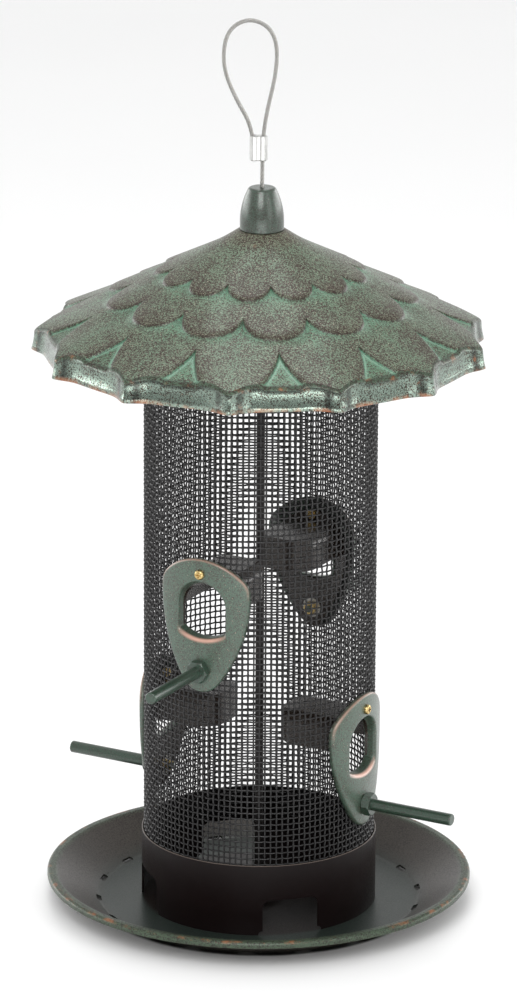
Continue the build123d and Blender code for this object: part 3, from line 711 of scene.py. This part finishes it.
def make_roof():
    """Pressed sheet on a closed grid: rows run out over the top, round the rim and back underneath.

    The underside stops a few rows short of the bend. It has the plain rows and two of three of the
    others, lower by the sheet's upright thickness.
    """
    local, turn, azimuth = roof_columns()
    edges = [
        petal_edge(local, ROW_1_TIP, ROW_1_ROOT),
        petal_edge(turn, ROW_2_TIP, ROW_2_ROOT),
        ray_edge(local),
    ]
    outline = scallop_edge(local)
    corner = outline - CORNER_IN
    top_r, top_z = roof_top(local, turn, edges, corner - BEND_IN)
    rim_r, rim_z = roof_rim(top_r[-1], top_z[-1], outline, corner)
    rows_back = reversed(range(len(top_r) - SHORT_ROWS))
    under = [row for row in rows_back if row < len(PLAIN_ROWS) or row % 3 != 1]
    radius = np.concatenate([top_r, rim_r, top_r[under]])
    height = np.concatenate([top_z, rim_z, top_z[under] - SHEET_DROP])
    x, y = on_circle(radius, azimuth)
    points = np.stack([x, y, height], axis=-1)
    quads = grid_quads(len(radius), len(azimuth))[:, ::-1]
    make_piece(
        "roof_skin", points, quads.tolist(), "roof", ROOF_PATINA, "roof",
        roof_marks(radius, height, len(top_r), local, azimuth, edges),
    )


make_roof()

# Feeding ports, drawn about the perch's axis in the plane of the port: half width, top, low end and
# bend of the mouth's outlines, steps in and down of the plate's round edge, the mouth's depths
LIP_LINE = (16.8, 54.4, 15.6, 5.0)
THROAT_LINE = (14.9, 52.2, 19.2, 4.0)
INNER_LINE = (14.4, 50.0, 19.4, 3.5)
BACK_LINE = (16.4, 52.0, 17.4, 4.5)
CUT_LINE = (17.2, 52.4, 15.4, 4.5)
SILL_SAG = 4.0
EDGE_ROUND = ((0.0, 1.3), (0.1, 0.8), (0.35, 0.35), (0.8, 0.1), (1.3, 0.0))
LIP_DEPTH, THROAT_DEPTH, LIP_ROWS = 3.0, 4.1, 8
THROAT_BACK = ((0.4, 63.2), (0.8, 63.4))
SLEEVE_R = 66.5
PORT_MIDDLE = np.array([0.0, 33.5])
PLATE_COLUMNS, OUTLINE_POINTS = 192, 720

# Arcs of the plate's outline, the crown, right corner, right side and foot: hub, radius, degrees
# from and to, and points
PLATE_ARCS = (
    ((0, 32.4), 34.0, 42.2, 137.8, 60),
    ((16.3, 47.2), 12.0, 1.7, 42.2, 30),
    ((-59.7, 45.0), 88.0, -36.6, 1.7, 60),
    ((0, 0.6), 13.6, -143.4, -36.6, 40),
)

# Rows of the plate's grid over which the painted highlight on the lip and edge comes and goes, and
# the sine of the rays below or above the port's middle where it shows
LIP_FROM, LIP_TO, SILL_SHARE = (10.0, 12.5), (16.0, 13.0), (0.45, 0.95)
EDGE_FROM, EDGE_TO, BROW_SHARE = (0.5, 2.0), (5.0, 3.0), (0.3, 0.7)
BROW_HIGHLIGHT = 0.6


def arc(hub, radius, start, end, count):
    """Points on a circle from one angle to another."""
    a = np.linspace(start, end, count)
    return np.stack([hub[0] + radius * np.cos(a), hub[1] + radius * np.sin(a)], axis=-1)


def round_corners(line, reach):
    """Closed outline evened out, then smoothed by a weighted mean about as wide as the bend."""
    closed = np.concatenate([line, line[:1]])
    length = length_along(closed)
    even = np.linspace(0, length[-1], OUTLINE_POINTS, endpoint=False)
    x, y = (np.interp(even, length, closed[:, k]) for k in (0, 1))
    wide = max(int(reach * 0.9 / (length[-1] / OUTLINE_POINTS)) | 1, 3)
    weight = np.hanning(wide + 2)[1:-1]
    weight = weight / weight.sum()
    back = wide // 2
    longer = [np.concatenate([v[-back:], v, v[:back]]) for v in (x, y)]
    return np.stack([np.convolve(v, weight, mode="valid") for v in longer], axis=-1)


def mouth_line(half_width, top, low, bend):
    """D-shaped outline: round top, straight sides, soft lower corners and a sagging sill."""
    sill_r = (half_width**2 + SILL_SAG**2) / (2 * SILL_SAG)
    half = np.arcsin(half_width / sill_r)
    crown = arc((0, top - half_width), half_width, 0, pi, 60)
    sill = arc((0, low + sill_r), sill_r, -pi / 2 - half, -pi / 2 + half, 40)
    return round_corners(np.concatenate([crown, sill]), bend)


def plate_line(inset):
    """Shield outline of arcs that touch: a wide crown, two corners, two long sides and a foot."""
    crown, corner, side, foot = (
        arc(hub, radius - inset, radians(start), radians(end), count)
        for hub, radius, start, end, count in PLATE_ARCS
    )
    mirror = np.array([-1.0, 1.0])
    return np.concatenate([side, corner, crown, corner[::-1] * mirror, side[::-1] * mirror, foot])


def reach_of(line, angle):
    """Distance from the port's middle to an outline along each angle, read between its points."""
    away = line - PORT_MIDDLE
    a = np.arctan2(away[:, 1], away[:, 0])
    order = np.argsort(a)
    return np.interp(angle, a[order], np.linalg.norm(away, axis=1)[order], period=2 * pi)


def make_port_plate(name, turn, perch_z):
    """Shield plate on a closed grid, bent round the tube: columns are rays from the port's middle.

    Rows go over the edge, the face, the lip as a quarter ellipse, the throat and its outer side.
    """
    angle = np.linspace(-pi, pi, PLATE_COLUMNS, endpoint=False)
    lines = (LIP_LINE, THROAT_LINE, INNER_LINE, BACK_LINE)
    lip, throat, inner, back = (reach_of(mouth_line(*line), angle) for line in lines)
    edges = [
        (reach_of(plate_line(inset), angle), PLATE_FRONT_R - drop) for inset, drop in EDGE_ROUND
    ]
    face = edges[-1][0]
    rows = [(edges[0][0], PLATE_BACK_R)] + edges
    rows += [(face + (lip - face) * share, PLATE_FRONT_R) for share in (0.25, 0.5, 0.75, 1.0)]
    for bend in np.linspace(0, pi / 2, LIP_ROWS + 1)[1:]:
        depth = LIP_DEPTH * (1 - np.cos(bend))
        rows.append((lip + (throat - lip) * np.sin(bend), PLATE_FRONT_R - depth))
    lip_end = PLATE_FRONT_R - LIP_DEPTH
    for share in (0.4, 0.8, 1.0):
        rows.append((throat + (inner - throat) * share, lip_end - THROAT_DEPTH * share))
    rows += [(inner + out, radius) for out, radius in THROAT_BACK]
    rows += [(back, SLEEVE_R), (back, PLATE_BACK_R)]
    reach = np.array([row[0] for row in rows])
    radius = np.array([np.full(PLATE_COLUMNS, row[1]) for row in rows])
    x = PORT_MIDDLE[0] + reach * np.cos(angle)
    z = PORT_MIDDLE[1] + reach * np.sin(angle) + perch_z
    y = -np.sqrt(radius**2 - x**2)
    c, s = cos(radians(turn)), sin(radians(turn))
    points = np.stack([c * x - s * y, s * x + c * y, z], axis=-1)
    row = np.arange(len(rows))[:, None] + 0 * reach
    on_lip = smooth(row, *LIP_FROM) * smooth(row, *LIP_TO)
    on_edge = smooth(row, *EDGE_FROM) * smooth(row, *EDGE_TO)
    marks = {
        # Painted pink highlight on the mouth's rounded sill and on the plate's upper edge
        "sill": on_lip * smooth(-np.sin(angle), *SILL_SHARE),
        "brow_highlight": BROW_HIGHLIGHT * on_edge * smooth(np.sin(angle), *BROW_SHARE),
    }
    quads = grid_quads(len(rows), PLATE_COLUMNS)
    make_piece(
        name + "_plate_cast", points, quads.tolist(), "feeder",
        PORT_PATINA, name + "_port_plate", marks,
    )


for port_name, port_turn, port_z in PORTS:
    make_port_plate(port_name, port_turn, port_z)

# Woven wire: radius of the weave's middle and of a wire, and how far wires wave to each side
WEAVE_R, WIRE_R, WAVE = 66.5, 0.53, 0.46
UPRIGHTS, RINGS, WIRE_SIDES = 124, 100, 6
END_GAP, CUT_GAP = 0.7, 0.3


def in_mouths(azimuth, z):
    """Whether a point of the tube is in a port's mouth, by its distance from the port's middle."""
    found = np.zeros(np.broadcast(azimuth, z).shape, dtype=bool)
    line = mouth_line(*CUT_LINE)
    for _, turn, perch_z in PORTS:
        away = azimuth - radians(turn)
        x = WEAVE_R * np.sin(away)
        up = z - perch_z - PORT_MIDDLE[1]
        near = np.hypot(x, up) < reach_of(line, np.arctan2(up, x)) + CUT_GAP
        found |= near & (np.cos(away) > 0)
    return found


def make_weave():
    """Plain weave: uprights and rings pass in turn outside and inside each other."""
    azimuth = np.arange(UPRIGHTS) * 2 * pi / UPRIGHTS
    level = np.linspace(TUBE_Z0 + END_GAP, TUBE_Z1 - END_GAP, RINGS)
    crossing = np.arange(UPRIGHTS)[:, None] + np.arange(RINGS)
    side = np.where(crossing % 2 == 0, WAVE, -WAVE)[:, :, None]
    sin_a, cos_a = np.sin(azimuth), np.cos(azimuth)
    out = np.stack([sin_a, -cos_a, 0 * sin_a], axis=-1)[:, None]
    along = np.stack([cos_a, sin_a, 0 * sin_a], axis=-1)[:, None]
    up = np.array([0.0, 0.0, 1.0])
    height = up * level[:, None]
    holes = in_mouths(azimuth[:, None], level)
    loop = np.append(np.arange(UPRIGHTS), 0)
    uprights = out * (WEAVE_R + side) + height
    rings = (out * (WEAVE_R - side) + height).transpose(1, 0, 2)[:, loop]
    wires = [
        ("wire_uprights", "mesh_tube", uprights, out, along, holes),
        ("wire_rings", "mesh_hoops", rings, up, out[loop].transpose(1, 0, 2), holes.T[:, loop]),
    ]
    for name, node, lines, first, second, cut in wires:
        keep = ~(cut[:, :-1] | cut[:, 1:])
        points, faces = round_tubes(lines, first, second, keep, WIRE_R, WIRE_SIDES)
        points, faces = only_used(points.reshape(-1, 3), faces)
        make_piece(name, points, faces, "feeder", BLACK_WIRE, node)


make_weave()

# Wire rope: length of one turn of its strands, their distance from its line and their radius
ROPE_LAY, STRAND_OFF, STRAND_R = 15.0, 0.78, 0.42
STRANDS, STRAND_SIDES, ROPE_STOPS, ROPE_RESOLUTION = 6, 7, 270, 24


def rope_line(c, s):
    """Points along the rope's smooth line, read by Blender from a NURBS curve of its route."""
    curve = bpy.data.curves.new("rope_line", "CURVE")
    curve.dimensions = "3D"
    curve.resolution_u = ROPE_RESOLUTION
    spline = curve.splines.new("NURBS")
    route = [(u * c * MM, u * s * MM, z * MM, 1.0) for u, z in ROPE_ROUTE]
    spline.points.add(len(route) - 1)
    spline.points.foreach_set("co", np.ravel(route))
    spline.order_u = 3
    spline.use_endpoint_u = True
    guide = bpy.data.objects.new("rope_line", curve)
    read = bpy.data.meshes.new_from_object(guide)
    line = np.empty(len(read.vertices) * 3)
    read.vertices.foreach_get("co", line)
    bpy.data.objects.remove(guide)
    bpy.data.meshes.remove(read)
    return line.reshape(-1, 3) / MM


def make_rope():
    """Six strands wound round a core along the rope's line: each circles it once in every lay."""
    c, s = cos(radians(HANGER_TURN)), sin(radians(HANGER_TURN))
    line = rope_line(c, s)
    length = length_along(line)
    stops = np.linspace(0, length[-1], ROPE_STOPS)
    path = np.stack([np.interp(stops, length, line[:, k]) for k in range(3)], axis=-1)
    way = np.gradient(path, axis=0)
    way /= np.linalg.norm(way, axis=1)[:, None]
    flat = np.array([-s, c, 0.0])
    side = np.cross(flat, way)
    begin = np.append(round_angles(STRANDS), 0.0)[:, None]
    off = np.append(np.full(STRANDS, STRAND_OFF), 0.0)[:, None, None]
    spin = 2 * pi * stops / ROPE_LAY + begin
    middle = path + off * (np.cos(spin)[..., None] * side + np.sin(spin)[..., None] * flat)
    keep = np.ones((STRANDS + 1, ROPE_STOPS - 1), dtype=bool)
    points, faces = round_tubes(middle, side, flat, keep, STRAND_R, STRAND_SIDES)
    marks = {
        "along": np.broadcast_to(stops[None, :, None], points.shape[:3]),
        "around": np.broadcast_to(round_angles(STRAND_SIDES) / (2 * pi), points.shape[:3]),
    }
    rope = make_piece(
        "hanger_rope", points, faces, "hanger", WIRE_ROPE, "hanger_cable", marks
    )


make_rope()

# Finishes of the solids that stay
FINISHES = [
    (TRAY_PATINA, ["tray"]),
    (DARK_COLLAR, ["base_collar", "top_ring", "crossbar"]),
    (DARK_ROD, ["tie_rod"]),
    (PLATED_STEEL, ["rod_nuts", "rod_washers", "perch_washers"]),
    (FINIAL_PATINA, ["finial_knob"]),
    (BRASS, ["thread_insert", "port_screws", "port_screw_nuts", "perch_nuts"]),
    (ALUMINIUM, ["cable_stop", "crimp_ferrule"]),
    (PERCH_GREEN, [port[0] + "_perch" for port in PORTS]),
    (HOOD_PATINA, [port[0] + "_port_hood" for port in PORTS]),
]
for finish, finished_nodes in FINISHES:
    for node_name in finished_nodes:
        slots = NODES[node_name].data.materials
        slots.clear()
        slots.append(finish)

# Floor, light and camera, in metres: each light's name, place, aim, size and power
FLOOR_HALF, FLOOR_Z = 6, -0.0003
LIGHTS = [
    ("key_front", (0.5, -1.4, 1.3), (0, 0, 0.26), (0.9, 0.9), 17),
    ("low_front", (0.66, -1.2, 0.1), (0, 0, 0.02), (1.2, 0.16), 2.5),
    ("fill_right", (1.5, -0.5, 0.8), (0, 0, 0.22), (0.7, 1.2), 5),
    ("top", (-0.3, 0.5, 1.7), (0, 0, 0.36), (0.7, 0.7), 7),
]
VIEW_TURN, VIEW_RISE, VIEW_ROLL = radians(29.0), radians(17.25), radians(0.3)
VIEW_AIM, VIEW_AWAY = (0, 0, 0.243), 3.5
LENS, SENSOR, SHIFT_X, NEAREST, FARTHEST = 218.6, 36.0, -0.002, 0.1, 50.0

# The surround's light, and the bands of height and nearness to the camera's side where it changes
EVEN_LIGHT, FRONT_LIGHT, SIDE_LIGHT, BACK_SHARE = 0.78, -0.4, 3.8, 0.1
LOW_BAND, FRONT_BAND, SIDE_BAND, BACK_BAND = (0.36, 0.22), (0.5, 0.8), (0.25, 0.05), (-0.92, -0.7)


def make_floor():
    """Wide pale floor with a faint cloud in its colour, shaded where the tray covers it."""
    material, tree, shader, place = new_material("pale_floor", metallic=0.0, roughness=0.6)
    where = use_group(tree, TURNED, Place=place)
    tint = blend(tree, noise(tree, place, 3.0), FLOOR_DARK, FLOOR_LIGHT)
    tint = blend(tree, rise(tree, where["Radius"], *FLOOR_SHADE_R), tint, FLOOR_SHADE)
    finish_shader(tree, shader, tint)
    mesh = bpy.data.meshes.new("floor")
    signs = ((-1, -1), (1, -1), (1, 1), (-1, 1))
    corners = [(x * FLOOR_HALF, y * FLOOR_HALF, FLOOR_Z) for x, y in signs]
    mesh.from_pydata(corners, [], [(0, 1, 2, 3)])
    mesh.materials.append(material)
    floor = bpy.data.objects.new("floor", mesh)
    bpy.context.scene.collection.objects.link(floor)


def soft_light(name, place, aim, size, power):
    """Rectangular soft light aimed at a point."""
    lamp = bpy.data.lights.new(name, "AREA")
    lamp.shape = "RECTANGLE"
    lamp.size, lamp.size_y = size
    lamp.energy = power
    light = bpy.data.objects.new(name, lamp)
    light.location = place
    light.rotation_euler = (Vector(aim) - Vector(place)).to_track_quat("-Z", "Y").to_euler()
    bpy.context.scene.collection.objects.link(light)


def make_surround():
    """White studio, even overhead; low down, bright at both sides, fair behind and dim in front."""
    world = bpy.data.worlds.new("studio")
    world.use_nodes = True
    tree = world.node_tree
    way = add(tree, "TexCoord").outputs["Generated"]
    parts = add(tree, "SeparateXYZ", {"Vector": way}).outputs
    ahead = raised(tree, scaled(tree, parts["Y"], -cos(VIEW_TURN)), parts["X"], sin(VIEW_TURN))
    low = rise(tree, parts["Z"], *LOW_BAND)
    front = rise(tree, ahead, *FRONT_BAND, end=FRONT_LIGHT)
    sides = rise(tree, ahead, *SIDE_BAND, end=SIDE_LIGHT)
    sides = scaled(tree, sides, rise(tree, ahead, *BACK_BAND, start=BACK_SHARE))
    background = tree.nodes["Background"].inputs
    strength = raised(tree, EVEN_LIGHT, low, calc(tree, "ADD", front, sides))
    feed(tree, background["Strength"], strength)
    feed(tree, background["Color"], (1, 1, 1, 1))
    bpy.context.scene.world = world


def make_camera():
    """Long lens at the photograph's angle, turned a little about its own line of sight."""
    x, y = on_circle(cos(VIEW_RISE), VIEW_TURN)
    back = Vector((x, y, sin(VIEW_RISE)))
    right = Vector((cos(VIEW_TURN), sin(VIEW_TURN), 0))
    up = back.cross(right)
    c, s = cos(VIEW_ROLL), sin(VIEW_ROLL)
    right, up = c * right + s * up, c * up - s * right
    camera = bpy.data.cameras.new("camera")
    camera.lens, camera.sensor_width = LENS, SENSOR
    camera.shift_x = SHIFT_X
    camera.clip_start, camera.clip_end = NEAREST, FARTHEST
    eye = bpy.data.objects.new("camera", camera)
    turn = Matrix((right, up, back)).transposed().to_4x4()
    eye.matrix_world = Matrix.Translation(Vector(VIEW_AIM) + VIEW_AWAY * back) @ turn
    bpy.context.scene.collection.objects.link(eye)
    bpy.context.scene.camera = eye


make_floor()
make_surround()
for light_row in LIGHTS:
    soft_light(*light_row)
make_camera()
bpy.context.scene.view_settings.view_transform = "Standard"
